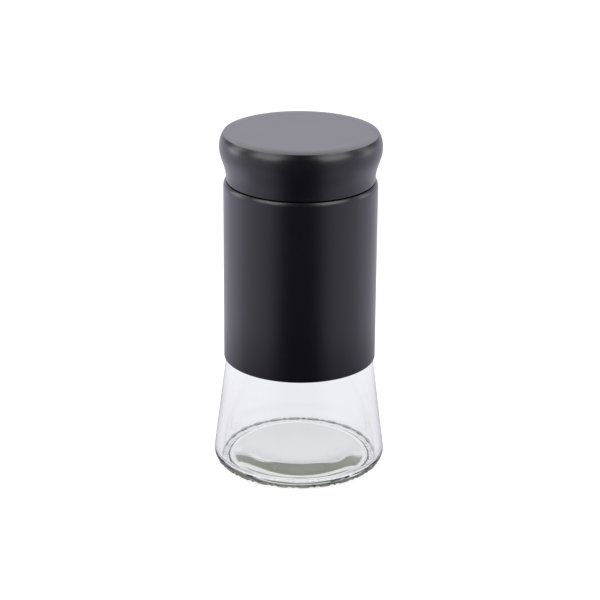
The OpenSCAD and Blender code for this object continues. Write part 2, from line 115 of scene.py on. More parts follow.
def math_node(tree, kind, *values):
    """A Math node whose inputs are numbers or sockets. Returns its output."""
    node = add_node(tree, "Math")
    node.operation = kind
    for socket, value in zip(node.inputs, values):
        feed(tree, socket, value)
    return node.outputs[0]


def mix_colours(tree, factor, first, second, blend="MIX"):
    """A Mix node between two colours, given as sockets or as values. Returns its result."""
    node = add_node(tree, "Mix")
    node.data_type, node.blend_type = "RGBA", blend
    for name, value in (("Factor", factor), ("A", first), ("B", second)):
        feed(tree, [i for i in node.inputs if i.name == name and i.enabled][0], value)
    return [o for o in node.outputs if o.enabled][0]


def ramp_of(tree, factor, stops):
    """A ColorRamp with (place, colour) stops. Returns its colour."""
    ramp = add_node(tree, "ValToRGB")
    tree.links.new(factor, ramp.inputs[0])
    made = ramp.color_ramp.elements
    for place, colour in stops[1:-1]:
        made.new(place)
    for stop, (place, colour) in zip(made, stops):
        stop.position = place
        stop.color = (*colour, 1)
    return ramp.outputs[0]


def held_line(tree, value, slope, start):
    """A straight line over a value, held between 0 and 1. Returns its output."""
    line = math_node(tree, "MULTIPLY_ADD", value, slope, start)
    return math_node(tree, "MINIMUM", math_node(tree, "MAXIMUM", line, 0.0), 1.0)


print("node groups so far:", len(bpy.data.node_groups))

# %% [markdown]
# The group turns a direction into the angle from the front, and looks that up in a
# ramp of brightness for paint. Its roof is in shade, all but a gap straight at the
# back, where the top of the cap finds its grey. For glass the height alone counts: a
# pale sheet below, a lamp overhead and a grey wall between, which the edges of the
# jar pick up.

# %% The tent as a node group
# Degrees from the front, to the left below zero, and how bright the tent is there.
PAINT_TENT = ((-180, 1.0), (-125, 1.1), (-112, 1.3), (-100, 1.35), (-88, 1.1), (-66, 0.95),
              (-46, 0.8), (-22, 0.03), (22, 0.03), (46, 0.75), (66, 0.85), (88, 0.95), (100, 1.1),
              (112, 1.0), (180, 1.0))
TENT_WHITE = (0.995, 0.965, 1.14)
ROOF_SHADE = 0.85
# Lines, as slope and start: over the height of a direction, and over its angle in radians.
SHADE_UP, SHADE_ASIDE = (5.0, -0.3), (-3.0, 7.9)
# Height of a direction from 0 to 1, and the colour that glass sees there.
GLASS_TENT = ((0.0, (0.6, 0.6, 0.6)), (0.08, (0.27, 0.27, 0.25)), (0.93, (0.24, 0.24, 0.215)),
              (1.0, (0.7, 0.7, 0.72)))

tent, tent_in, tent_out = new_group(
    "tent", [("Direction", "Vector", None)],
    [("In Paint", "Color"), ("In Glass", "Color")])
split = add_node(tent, "SeparateXYZ")
tent.links.new(tent_in.outputs["Direction"], split.inputs[0])
front = math_node(tent, "MULTIPLY", split.outputs["Y"], -1.0)
angle = math_node(tent, "ARCTAN2", split.outputs["X"], front)
part = math_node(tent, "MULTIPLY_ADD", angle, 0.5 / math.pi, 0.5)
paint_stops = [(degrees / 360 + 0.5, [level * tint for tint in TENT_WHITE])
               for degrees, level in PAINT_TENT]
raised = held_line(tent, split.outputs["Z"], *SHADE_UP)
aside = held_line(tent, math_node(tent, "ABSOLUTE", angle), *SHADE_ASIDE)
shade = math_node(tent, "MULTIPLY", math_node(tent, "MULTIPLY", raised, aside), ROOF_SHADE)
black = (0.0, 0.0, 0.0, 1)
tent.links.new(mix_colours(tent, shade, ramp_of(tent, part, paint_stops), black),
               tent_out.inputs["In Paint"])
tent.links.new(ramp_of(tent, split.outputs["Z"], GLASS_TENT), tent_out.inputs["In Glass"])
print("tent has", len(PAINT_TENT), "stops round and", len(GLASS_TENT), "up")

# %% [markdown]
# ## The sky
#
# The sky is plain white to the camera. A ray that comes off paint or out of glass
# sees the tent. Everything else is lit by an even white at a plain level, so that a
# colour renders about as it is written. Light Path tells these three apart.

# %% Sky
PLAIN_LEVEL = 0.62

world = bpy.data.worlds.new("white_studio")
scene.world = world
world.use_nodes = True
sky = world.node_tree
sky.nodes.clear()
path = add_node(sky, "LightPath")
direction = add_node(sky, "TexCoord")
sky_tent = add_node(sky, "Group")
sky_tent.node_tree = tent
sky.links.new(direction.outputs["Generated"], sky_tent.inputs["Direction"])
seen = (PLAIN_LEVEL,) * 3 + (1,)
for ray, colour in (("Is Camera Ray", (1, 1, 1, 1)),
                    ("Is Glossy Ray", sky_tent.outputs["In Paint"]),
                    ("Is Transmission Ray", sky_tent.outputs["In Glass"])):
    seen = mix_colours(sky, path.outputs[ray], seen, colour)
back = add_node(sky, "Background")
sky.links.new(seen, back.inputs["Color"])
sky_out = add_node(sky, "OutputWorld")
sky.links.new(back.outputs[0], sky_out.inputs["Surface"])
print("sky ready")

# %% [markdown]
# ## The floor
#
# The mill stands on a white sheet. A square plane would do, but the edge of a round
# one is the same distance away from every side. Most of its white is its own glow,
# so that it stays white, and a share is lit, which keeps a soft shadow where the jar
# touches it. Paint sees the tent in it and glass a cool white, both with a painted
# shadow in rings near the mill, where its own foot and head would keep the light off:
# the narrow painted ring just outside the foot draws the dark line along the jar's heel.

# %% Floor
FLOOR_R, FLOOR_Z = 3000, -0.02
GLOW, LIT_SHARE = 0.76, 0.34       # to the camera
SHEET_IN_GLASS = (0.93, 0.91, 0.97)
# Painted shadow in rings round the mill: share of RINGS_R from the axis, and how bright the sheet
# is there in glass and in paint.
GLASS_SHADOW_RINGS = ((0.0, 1.04), (0.154, 1.04), (0.158, 0.4), (0.165, 0.4), (0.17, 1.0), (1.0, 1.0))
PAINT_SHADOW_RINGS = ((0.0, 0.3), (0.4, 0.35), (0.8, 1.0), (1.0, 1.0))
RINGS_R = 200

bpy.ops.object.select_all(action="DESELECT")
bpy.ops.mesh.primitive_circle_add(vertices=96, radius=FLOOR_R * MM, fill_type="NGON",
                                  location=(0, 0, FLOOR_Z * MM))
floor = bpy.context.object
floor.name = "studio_floor"
bpy.ops.object.transform_apply(location=True)
sheet = bpy.data.materials.new("white_sheet")
sheet.use_nodes = True
tree = sheet.node_tree
tree.nodes.clear()
path = add_node(tree, "LightPath")
place = add_node(tree, "TexCoord")
floor_tent = add_node(tree, "Group")
floor_tent.node_tree = tent
tree.links.new(place.outputs["Object"], floor_tent.inputs["Direction"])
away = add_node(tree, "VectorMath")
away.operation = "LENGTH"
tree.links.new(place.outputs["Object"], away.inputs[0])
ring_place = math_node(tree, "DIVIDE", away.outputs["Value"], RINGS_R * MM)


def ring_shade(colour, rings):
    """The colour, darkened in rings round the mill by a painted shadow."""
    shade = ramp_of(tree, ring_place, [(place, (level,) * 3) for place, level in rings])
    return mix_colours(tree, 1.0, colour, shade, "MULTIPLY")


def lit_paper(share, colour, strength):
    """A white sheet that is lit by a share and glows by a strength. Returns its shader."""
    lit = add_node(tree, "BsdfDiffuse")
    lit.inputs["Color"].default_value = (share, share, share, 1)
    glow = add_node(tree, "Emission")
    glow.inputs["Strength"].default_value = strength
    if colour is not None:
        tree.links.new(colour, glow.inputs["Color"])
    both = add_node(tree, "AddShader")
    tree.links.new(lit.outputs[0], both.inputs[0])
    tree.links.new(glow.outputs[0], both.inputs[1])
    return both.outputs[0]


def mix_shaders(factor, first, second):
    """A Mix Shader node. Returns its shader."""
    node = add_node(tree, "MixShader")
    for socket, value in zip(node.inputs, (factor, first, second)):
        tree.links.new(value, socket)
    return node.outputs[0]


# The sheet that paint and glass see carries a painted shadow in rings round the mill.
in_paint = ring_shade(floor_tent.outputs["In Paint"], PAINT_SHADOW_RINGS)
in_glass = ring_shade((*SHEET_IN_GLASS, 1), GLASS_SHADOW_RINGS)
seen = add_node(tree, "BsdfDiffuse").outputs[0]
for ray, shader in (("Is Camera Ray", lit_paper(LIT_SHARE, None, GLOW)),
                    ("Is Glossy Ray", lit_paper(0.0, in_paint, 1.0)),
                    ("Is Transmission Ray", lit_paper(0.0, in_glass, 1.0))):
    seen = mix_shaders(path.outputs[ray], seen, shader)
# From below the sheet isn't there, so that the underside of the mill can be seen.
under = add_node(tree, "NewGeometry").outputs["Backfacing"]
from_below = math_node(tree, "MULTIPLY", under, path.outputs["Is Camera Ray"])
clear = add_node(tree, "BsdfTransparent").outputs[0]
sheet_out = add_node(tree, "OutputMaterial")
tree.links.new(mix_shaders(from_below, seen, clear), sheet_out.inputs["Surface"])
floor.data.materials.append(sheet)
print("floor radius", FLOOR_R, "mm")

# %% [markdown]
# ## The lamps
#
# Two tall soft boxes stand a little behind the mill, one on each side, and draw the
# pale edges down the paint. A third hangs high at the back for the top of the cap,
# and two at the front put the soft highlights on the rim and under the seam. An area
# lamp is the soft box: the larger it is, the softer its shadow. None of them shows
# to the camera or through the glass.

# %% Lamps
LIT_Z = 70              # the height that all of them are aimed at
# name, place in mm, size in mm, watts
SOFT_BOXES = (("left_box", (-1150, 320, 420), (420, 1100), 4.6),
              ("right_box", (1150, 320, 420), (420, 1100), 3.0),
              ("top_box", (0, 1150, 900), (1700, 750), 5.0),
              ("front_left_box", (-700, -560, 640), (760, 720), 6.6),
              ("front_right_box", (700, -560, 640), (760, 720), 6.6))

for name, place_mm, size_mm, watts in SOFT_BOXES:
    bpy.ops.object.light_add(type="AREA", location=[v * MM for v in place_mm])
    lamp = bpy.context.object
    lamp.name = name
    lamp.data.shape = "RECTANGLE"
    lamp.data.size, lamp.data.size_y = (v * MM for v in size_mm)
    lamp.data.energy = watts
    towards = Vector((0, 0, LIT_Z * MM)) - lamp.location
    lamp.rotation_euler = towards.to_track_quat("-Z", "Y").to_euler()
    lamp.visible_camera = False
    lamp.visible_transmission = False
    print(name, watts, "W")

# %% [markdown]
# ## Working on a mesh
#
# Every piece below is made in the same few ways. Parts of a mesh are picked by their
# place and normal: numbers would do, but a pick by place still holds when a step
# before it changes. place_on hands a piece to its body and the solids that it takes
# over from, and counts open edges as a check.

# %% Tools for meshes
def edit_mode(on):
    """Goes into edit mode, or out of it."""
    bpy.ops.object.mode_set(mode="EDIT" if on else "OBJECT")


def start(name, place_mm):
    """Adds a plane there, merges it to one vertex and stays in edit mode."""
    bpy.ops.object.select_all(action="DESELECT")
    bpy.ops.mesh.primitive_plane_add(size=MM, location=[v * MM for v in place_mm])
    piece = bpy.context.object
    piece.name = piece.data.name = name
    edit_mode(True)
    bpy.ops.mesh.merge(type="CENTER")
    return piece


def pick(piece, kind, wanted):
    """In edit mode, selects what is wanted by its place in mm and its normal, and counts it."""
    mesh = bmesh.from_edit_mesh(piece.data)
    bpy.ops.mesh.select_all(action="DESELECT")
    count = 0
    for part in getattr(mesh, kind):
        if kind == "verts":
            where, normal = part.co, part.normal
        elif kind == "edges":
            where, normal = (part.verts[0].co + part.verts[1].co) / 2, None
        else:
            where, normal = part.calc_center_median(), part.normal
        here = (piece.matrix_world @ where) / MM
        if wanted(here, normal):
            part.select_set(True)
            count += 1
    mesh.select_flush_mode()
    bmesh.update_edit_mesh(piece.data)
    return count


def only(*pieces):
    """Selects these pieces alone and makes the first of them active."""
    bpy.ops.object.select_all(action="DESELECT")
    for piece in pieces:
        piece.select_set(True)
    bpy.context.view_layer.objects.active = pieces[0]


def finish_mesh(piece, flat_above=35):
    """Puts the piece's place into its mesh and shades it smooth up to an angle."""
    only(piece)
    bpy.ops.object.transform_apply(location=True, rotation=True, scale=True)
    bpy.ops.object.shade_smooth_by_angle(angle=math.radians(flat_above))


def turn_faces_out():
    """Points every face outward and leaves edit mode."""
    bpy.ops.mesh.select_all(action="SELECT")
    bpy.ops.mesh.normals_make_consistent(inside=False)
    edit_mode(False)


def apply_modifier(piece, kind, **settings):
    """Adds a modifier, sets it and applies it."""
    only(piece)
    modifier = piece.modifiers.new(kind.lower(), kind)
    for setting, value in settings.items():
        setattr(modifier, setting, value)
    bpy.ops.object.modifier_apply(modifier=modifier.name)


def place_on(piece, body, slot, *nodes):
    """The piece takes over from the CAD nodes and rides on the body. The slot is not used."""
    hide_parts(*nodes)
    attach(piece, body)
    mesh = bmesh.new()
    mesh.from_mesh(piece.data)
    loose = sum(not edge.is_manifold for edge in mesh.edges)
    mesh.free()
    print(piece.name, "faces", len(piece.data.polygons), "open edges", loose)


print("mesh tools ready")

# %% [markdown]
# ## Turning a piece
#
# Nearly everything in a mill is round, so one way of working serves for most of it:
# draw half of the section beside the axis, and spin it. The outline starts as a
# plane merged to one vertex, which is then extruded from corner to corner. Corners
# that are round on the real piece are drawn sharp and bevelled before the spin,
# which keeps the lists of corners short. A Screw modifier could turn the outline
# too, but the spin leaves a plain mesh that can be edited further.

# %% Tools for turned pieces
SAME_POINT = 0.002      # mm: points nearer than this are merged


def arc(degrees, steps):
    """Cosine and sine of even steps from nothing up to an angle."""
    turns = [math.radians(degrees) * i / steps for i in range(steps + 1)]
    return [(math.cos(t), math.sin(t)) for t in turns]


def round_corners(piece, outline, closed):
    """Bevels each corner of the drawn outline that has a rounding as its third number."""
    count = len(outline)
    for i, corner in enumerate(outline):
        if len(corner) < 3 or (not closed and i in (0, count - 1)):
            continue
        here = Vector(corner[:2])
        before = Vector(outline[i - 1][:2]) - here
        after = Vector(outline[(i + 1) % count][:2]) - here
        reach = corner[2] / math.tan(before.angle(after) / 2)
        pick(piece, "verts", lambda at, n: (Vector((at.x, at.z)) - here).length < 0.01)
        steps = 8 if corner[2] > 1 else 4       # a large rounding shows, so it gets more faces
        bpy.ops.mesh.bevel(offset=reach * MM, offset_type="OFFSET", segments=steps,
                           affect="VERTICES", clamp_overlap=False)


def turn(name, outline, steps=192, closed=True):
    """Draws an outline of (radius, height[, rounding]) in mm, spins it, and returns the piece."""
    piece = start(name, (outline[0][0], 0, outline[0][1]))
    corners = list(outline) + (list(outline[:1]) if closed else [])
    for here, there in zip(corners, corners[1:]):
        step = ((there[0] - here[0]) * MM, 0, (there[1] - here[1]) * MM)
        bpy.ops.mesh.extrude_vertices_move(TRANSFORM_OT_translate={"value": step})
    bpy.ops.mesh.select_all(action="SELECT")
    bpy.ops.mesh.remove_doubles(threshold=SAME_POINT * MM)
    round_corners(piece, outline, closed)
    bpy.ops.mesh.select_all(action="SELECT")
    bpy.ops.mesh.spin(steps=steps, angle=2 * math.pi, center=(0, 0, 0), axis=(0, 0, 1))
    bpy.ops.mesh.select_all(action="SELECT")
    bpy.ops.mesh.remove_doubles(threshold=SAME_POINT * MM)
    turn_faces_out()
    finish_mesh(piece)
    return piece


print("points merge at", SAME_POINT, "mm")

# %% [markdown]
# ## The glass jar
#
# The jar is pressed glass: a thick floor with a rounded heel, walls that lean in as
# they rise, a shoulder hidden in the head, and a neck with the thread for the head.
# Its outside and inside are one closed outline, because light bends at both faces
# and a single sheet of faces would look like film. The wall runs straight from the
# heel to the shoulder, so the flare needs two corners. The underside is hollow inside
# the ring that the jar stands on. The inner floor is a low dome, whose slope shows as
# a grey-green crescent, where a bump on a flat floor wouldn't.

# %% Jar body
HEEL_LINE_R, FLARE, WALL = 32.5, 0.125, 2.8
SHOULDER_Z, NECK_Z, JAR_H = 74, 78, 94
NECK_R, NECK_IN_R = 21, 18.5
STAND_Z, STAND_IN, STAND_OUT = 0.3, 26.7, 28.4     # the ring that the jar stands on
HOLLOW_R, HOLLOW_Z = 26.3, 1.2
HEEL_ROUND = 3.6
DOME_R, DOME_TOP, DOME_FOOT = 26.0, 6.5, 2.5
GUTTER, CORNER_ROUND = 0.3, 2.0     # the inner floor's edge, below the dome's foot


def flare_r(z):
    """Radius of the outside of the jar's wall at height z."""
    return HEEL_LINE_R - FLARE * (z - 3)


def shoulder(low_r, low_z, high_r, high_z, steps=10):
    """Points of a quarter of an ellipse from the wall up to the neck."""
    return [(high_r + (low_r - high_r) * c, low_z + (high_z - low_z) * s)
            for c, s in arc(90, steps)]


def dome(steps=20, power=4):
    """Points of the jar's inner floor from its foot up to its middle."""
    out = [1 - i / steps for i in range(steps + 1)]
    return [(DOME_R * t, DOME_TOP - (DOME_TOP - DOME_FOOT) * t ** power) for t in out]


jar_outline = (
    [(0, HOLLOW_Z), (HOLLOW_R, HOLLOW_Z, 0.3), (STAND_IN, STAND_Z, 0.1), (27.2, STAND_Z),
     (STAND_OUT, STAND_Z), (flare_r(STAND_Z), STAND_Z, HEEL_ROUND)]
    + shoulder(flare_r(SHOULDER_Z), SHOULDER_Z, NECK_R, NECK_Z)
    + [(NECK_R, JAR_H, 0.8), (NECK_IN_R, JAR_H, 0.8)]
    + shoulder(flare_r(SHOULDER_Z - 1) - WALL, SHOULDER_Z - 1, NECK_IN_R, NECK_Z - 1)[::-1]
    + [(flare_r(DOME_FOOT) - WALL, DOME_FOOT - GUTTER, CORNER_ROUND)] + dome())
jar = turn("jar_glass", jar_outline, steps=240, closed=False)
print("jar", [round(v / MM, 1) for v in jar.dimensions], "mm, corners drawn", len(jar_outline))

# %% [markdown]
# The jar doesn't stand on a smooth ring, which would slip and scratch: the mould
# leaves a ring of short bars that catch the light. They could be drawn as a bump,
# but their outline shows against the floor. The faces of the ring that the jar
# stands on are picked by their angle, in every other sector, and are inset with a
# depth, which makes bars with sloping sides.

# %% Bars under the jar
BARS = 72
HEEL_BARS_R = 30


def under_bar(at):
    """True where a bar stands: in every other sector, on the ring and on the heel's rounding."""
    out = math.hypot(at.x, at.y)
    return (at.z < 2 and (STAND_IN + 0.1 < out < STAND_OUT or HEEL_BARS_R < out)
            and math.degrees(math.atan2(at.y, at.x)) % (360 / BARS) < 180 / BARS)


edit_mode(True)
found = pick(jar, "faces", lambda at, n: n.z < -0.7 and under_bar(at))
bpy.ops.mesh.inset(thickness=0.3 * MM, depth=STAND_Z * MM)
edit_mode(False)
print("bar faces", found)

# %% [markdown]
# The inner floor of a pressed jar is never quite flat: the glass sinks and swells as
# it cools, and what is seen through it sways. A Displace modifier with a cloud
# texture moves the points of the floor up and down by up to half of WAVE, over
# patches as wide as a thumb. A bump wouldn't sway the edge of the crescent as much.

# %% Waves in the jar's inner floor
WAVE, WAVE_W = 0.3, 20

edit_mode(True)
waved = pick(jar, "verts", lambda at, n: n.z > 0.5 and at.z < 9 and math.hypot(at.x, at.y) < 25)
bpy.ops.object.vertex_group_add()
bpy.ops.object.vertex_group_assign()
edit_mode(False)
waves = bpy.data.textures.new("waves", "CLOUDS")
waves.noise_scale = WAVE_W * MM
waves.noise_depth = 0
apply_modifier(jar, "DISPLACE", texture=waves, texture_coords="LOCAL", direction="Z",
               mid_level=0.5, strength=WAVE * MM, vertex_group=jar.vertex_groups[0].name)
print("waved points", waved)

# %% [markdown]
# The head screws on to the jar's neck. A Screw modifier carries the ridge's section
# up in a spiral, one and a quarter turns of it, its two ends are pulled down into
# the neck step by step, and a Boolean joins it to the glass. A spin doesn't climb.

# %% Jar thread
RIDGE_Z, LEAD, RIDGE_H, RIDGE_TURN = 81.5, 4, 1.4, 450
RIDGE_STEP, FADE_STEPS = 2.5, 8
FLANK, CREST_W = 0.55, 0.9
sunk, crest = NECK_R - 0.4, NECK_R + RIDGE_H
turns = RIDGE_TURN / 360

ridge = start("ridge", (sunk, 0, RIDGE_Z))
for step in ((crest - sunk, 0, FLANK), (0, 0, CREST_W), (sunk - crest, 0, FLANK)):
    bpy.ops.mesh.extrude_vertices_move(TRANSFORM_OT_translate={"value": [v * MM for v in step]})
bpy.ops.mesh.select_all(action="SELECT")
bpy.ops.mesh.edge_face_add()
bpy.ops.mesh.delete(type="ONLY_FACE")
edit_mode(False)
finish_mesh(ridge)
steps = round(RIDGE_TURN / RIDGE_STEP)
apply_modifier(ridge, "SCREW", angle=math.radians(RIDGE_TURN), screw_offset=LEAD * turns * MM,
               steps=steps, render_steps=steps, use_merge_vertices=False)
edit_mode(True)
for i in range(FADE_STEPS + 1):
    share = (sunk + (crest - sunk) * max(0.1, i / FADE_STEPS)) / crest
    for angle, low in ((i * RIDGE_STEP, RIDGE_Z),
                       (RIDGE_TURN - 360 - i * RIDGE_STEP, RIDGE_Z + LEAD * turns - 0.2)):
        pick(ridge, "verts", lambda at, n: math.hypot(at.x, at.y) > crest - 0.1
             and 0 < at.z - low < 2
             and abs(math.degrees(math.atan2(at.y, at.x)) - angle) < RIDGE_STEP / 2)
        bpy.ops.transform.resize(value=(share, share, 1), center_override=(0, 0, 0))
bpy.ops.mesh.select_all(action="DESELECT")
bpy.ops.mesh.select_non_manifold()
bpy.ops.mesh.edge_face_add()
turn_faces_out()
top = max(ridge.data.vertices, key=lambda v: v.co.z).co / MM
print("thread ends at", [round(v, 2) for v in top])
apply_modifier(jar, "BOOLEAN", object=ridge, operation="UNION", solver="EXACT")
bpy.data.objects.remove(ridge)
finish_mesh(jar)
place_on(jar, "jar", "clear_glass", "glass_jar")

# %% [markdown]
# ## The head's sleeve
#
# The sleeve is a deep-drawn steel tube: 0.5 mm sheet, a shoulder that turns in at
# the top, and an inward flange that the cap stands over. The shoulder is a part of
# an ellipse, higher than it is wide as a bevel can't be, and holds the soft highlight
# under the seam. Sheet metal is modelled as its outer face alone, and Solidify gives
# it its wall. A narrow bevel rounds the cut edges, which show as thin bright lines.

# %% Sleeve
SLEEVE_R, SLEEVE_Z, SLEEVE_LOOP = 28.5, 42.2, 20
SEAM_Z, FLANGE_R = 111.3, 24.5
SHEET, CUT_ROUND = 0.5, 0.18
LIP_W, LIP_H, LIP_TURN, LIP_IN = 0.9, 2.2, 60, 0.75


def into_sheet(skin):
    """Gives an outer face its wall of sheet metal and rounds the cut edges."""
    apply_modifier(skin, "SOLIDIFY", thickness=SHEET * MM, offset=-1, use_even_offset=True)
    apply_modifier(skin, "BEVEL", width=CUT_ROUND * MM, segments=3, limit_method="ANGLE",
                   angle_limit=math.radians(50))
    finish_mesh(skin)


lip = [(SLEEVE_R - LIP_W * (1 - c), SEAM_Z - LIP_H * (1 - s)) for c, s in arc(LIP_TURN, 8)]
# The loop above the foot keeps the shading of its cut edge off the rest of the wall.
sleeve = turn("painted_sleeve", [(SLEEVE_R, SLEEVE_Z), (SLEEVE_R, SLEEVE_Z + SLEEVE_LOOP)] + lip
              + [(SLEEVE_R - LIP_IN * LIP_W, SEAM_Z), (FLANGE_R, SEAM_Z)],
              steps=240, closed=False)
into_sheet(sleeve)
place_on(sleeve, "head", "black_paint", "head_sleeve")

# %% [markdown]
# ## The cap
#
# The cap is drawn from the same sheet. Its side swells out in a soft S from the seam
# to just under the top, turns over a full rim, and past a crisp edge the crown rises
# a little to a flat disc. The S is a cosine wave, set a little high by the power on
# its way up, and the rim is a part of an ellipse, where a bevel would be round.

# %% Cap
CAP_Z, CAP_TOP = 111.6, 130
CAP_FOOT_R, CAP_R = 27.5, 30
BULGE_Z = CAP_TOP - 6
RIM_W, RIM_H, RIM_TURN = 1.9, 5.1, 65
CROWN_R, CROWN_W, CROWN_DROP = 28.5, 5.4, 0.75


def cap_side(steps=20, skew=1.2):
    """Points up the side of the cap, from its lower edge to the start of the rim."""
    points = []
    for i in range(steps + 1):
        t = i / steps
        out = (1 - math.cos(math.pi * t ** skew)) / 2
        points.append((CAP_FOOT_R + (CAP_R - CAP_FOOT_R) * out, CAP_Z + (BULGE_Z - CAP_Z) * t))
    return points


def cap_rim(steps=10):
    """Points of the rim: a part of an ellipse, then a crown that flattens inward."""
    side = [(CAP_R - RIM_W + RIM_W * c, BULGE_Z + RIM_H * s) for c, s in arc(RIM_TURN, steps)[1:]]
    inward = [i / steps for i in range(steps + 1)]
    return side + [(CROWN_R - CROWN_W * t, CAP_TOP - CROWN_DROP * (1 - t) ** 2) for t in inward]


cap = turn("painted_cap", cap_side() + cap_rim() + [(0, CAP_TOP)], steps=240, closed=False)
into_sheet(cap)
place_on(cap, "cap", "black_paint", "cap_shell")

# %% [markdown]
# ## Inside the cap
#
# The painted steel is only a skin: a moulded cup inside it grips the head's spigot.
# The cup shows when the cap is lifted off, so its corners are rounded as a moulding's
# are. The mould feeds its plastic in at the middle of the roof, and the feed leaves a
# shallow round dimple there. It is made by insetting the roof's middle faces, which
# is neater than a Boolean.

# %% Cap cup
FEED_R, FEED_W, FEED_DEPTH, ROOF_R = 2.5, 0.15, 0.35, 20


def roof_within(r):
    """A test for the faces of the roof's underside within a radius."""
    return lambda at, n: n.z < -0.9 and at.z < 128.5 and math.hypot(at.x, at.y) < r


# Corners as radius, height and rounding, from the roof's middle down, round and back up.
cup = turn("cap_cup", [
    (0, 128.25), (21, 128.25, 0.6), (24.5, 124.35, 1.5), (24.5, 111.65, 0.3), (26.95, 111.65, 0.2),
    (26.95, 113.15, 0.3), (26, 113.15, 0.3), (26, 124.95, 1.5), (22.5, 128.45, 0.5),
    (22.5, 129.45, 0.3), (0, 129.45)], closed=False)
edit_mode(True)
pick(cup, "faces", roof_within(ROOF_R))
bpy.ops.mesh.inset(thickness=18 * MM)
pick(cup, "faces", roof_within(FEED_R))
bpy.ops.mesh.inset(thickness=FEED_W * MM, depth=-FEED_DEPTH * MM)
edit_mode(False)
finish_mesh(cup)
place_on(cup, "cap", "black_plastic", "cap_insert")

# %% [markdown]
# ## The cover plate, its seal and its screws
#
# Under the cap a black moulded plate holds the ring burr down. Its raised rim, the
# spigot, carries the cap and has a groove for a rubber ring. The screw holes are cut
# with a Boolean: the plate is round and the holes are not on its axis, so a spin
# can't make them. One cutter is made and copied round the axis.

# %% Tools for cuts and copies
def copy_round(piece, count, first=0.0):
    """Copies a piece round the axis, each copy with its own mesh, and returns them all."""
    copies = []
    for i in range(count):
        twin = piece.copy()
        twin.data = piece.data.copy()
        twin.name = twin.data.name = f"{piece.name}_{i + 1}"
        scene.collection.objects.link(twin)
        twin.data.transform(Matrix.Rotation(math.radians(first) + 2 * math.pi * i / count, 4, "Z"))
        copies.append(twin)
    bpy.data.objects.remove(piece)
    return copies


def joined(pieces):
    """Joins pieces into the first and returns it."""
    only(*pieces)
    bpy.ops.object.join()
    return pieces[0]


def cut_away(piece, cutter):
    """Takes the cutter's shape out of the piece and throws the cutter away."""
    apply_modifier(piece, "BOOLEAN", object=cutter, operation="DIFFERENCE", solver="EXACT")
    bpy.data.objects.remove(cutter)


def rod(name, r, low, high, x=0.0, sides=32):
    """A plain upright rod, used as a cutter."""
    bpy.ops.object.select_all(action="DESELECT")
    bpy.ops.mesh.primitive_cylinder_add(vertices=sides, radius=r * MM, depth=(high - low) * MM,
                                        location=(x * MM, 0, (low + high) / 2 * MM))
    made = bpy.context.object
    made.name = name
    bpy.ops.object.transform_apply(location=True)
    return made


def bar(name, low, high):
    """A plain block between two corners in mm, used as a cutter."""
    bpy.ops.object.select_all(action="DESELECT")
    middle = [(a + b) / 2 * MM for a, b in zip(low, high)]
    bpy.ops.mesh.primitive_cube_add(size=1, location=middle)
    made = bpy.context.object
    made.name = name
    made.scale = [(b - a) * MM for a, b in zip(low, high)]
    bpy.ops.object.transform_apply(location=True, scale=True)
    return made


print("cutters ready")

# %% [markdown]
# The plate and its seal are turned like the jar, which is quicker than to cut the
# groove out of a blank.

# %% Cover plate
COVER_Z, HEAD_TOP = 108.5, 110.8
SPIGOT_R = 24.3
SCREWS, SCREW_CIRCLE, SCREW_TURN, HOLE_R = 3, 19.4, 30, 1.06

plate = turn("cover_plate", [
    (15.4, COVER_Z, 0.15), (26.3, COVER_Z, 0.3), (26.3, HEAD_TOP, 0.15), (SPIGOT_R, HEAD_TOP, 0.1),
    (SPIGOT_R, 113.2, 0.12), (23.3, 113.2, 0.1), (23.3, 114.8, 0.1), (SPIGOT_R, 114.8, 0.12),
    (SPIGOT_R, 116.3, 0.5), (22.1, 116.3, 0.4), (22.1, HEAD_TOP, 0.5), (16.4, HEAD_TOP, 0.3),
    (15.4, 109.8, 0.3)], steps=144)
hole = rod("hole", HOLE_R, COVER_Z - 1, HEAD_TOP + 1, SCREW_CIRCLE)
cut_away(plate, joined(copy_round(hole, SCREWS, SCREW_TURN)))
finish_mesh(plate)
place_on(plate, "head", "black_plastic", "cover_ring")

seal = turn("cap_seal_ring", [(23.35, 113.3, 0.5), (24.44, 113.3, 0.5), (24.44, 114.7, 0.5),
                              (23.35, 114.7, 0.5)], steps=144)
place_on(seal, "head", "seal_rubber", "cap_seal")

# %% [markdown]
# The screws are small pan heads with a cross recess. A cross is two bars at right
# angles, so the recess is cut with two blocks, and the finished screw is copied to
# its three places.

# %% Cover screws
HEAD_R, HEAD_H = 1.8, 1.2
CROSS_L, CROSS_W, CROSS_Z = 1.15, 0.2, 0.45

screw = turn("cover_screw", [
    (0, HEAD_TOP - 5.7), (0.7, HEAD_TOP - 5.7, 0.2), (1, HEAD_TOP - 5.2), (1, HEAD_TOP),
    (HEAD_R, HEAD_TOP, 0.1), (HEAD_R, HEAD_TOP + HEAD_H, 0.6), (0, HEAD_TOP + HEAD_H)],
    steps=48, closed=False)
for x, y in ((CROSS_L, CROSS_W), (CROSS_W, CROSS_L)):
    cut_away(screw, bar("cross", (-x, -y, HEAD_TOP + CROSS_Z), (x, y, HEAD_TOP + 2)))
screw.data.transform(Matrix.Translation((SCREW_CIRCLE * MM, 0, 0)))
finish_mesh(screw)
screws = copy_round(screw, SCREWS, SCREW_TURN)
for screw in screws:
    place_on(screw, "head", "steel", "cover_screws")

# %% [markdown]
# ## The grind adjuster
#
# A fluted knob on the spindle's end sets how fine the pepper comes out. Its body is
# turned, and the finger flutes are one rod copied eighteen times and cut away, as
# is the mark on its top that shows how far it is turned. An extruded gear outline
# would be harder to round at the top. A narrow bevel on the edges that are left gives
# the soft look of moulded plastic.

# %% Adjuster knob
KNOB_Z, KNOB_TOP, KNOB_R = 110.85, 120.45, 8.5
FLUTES, FLUTE_R, FLUTE_OUT = 18, 0.9, 0.45

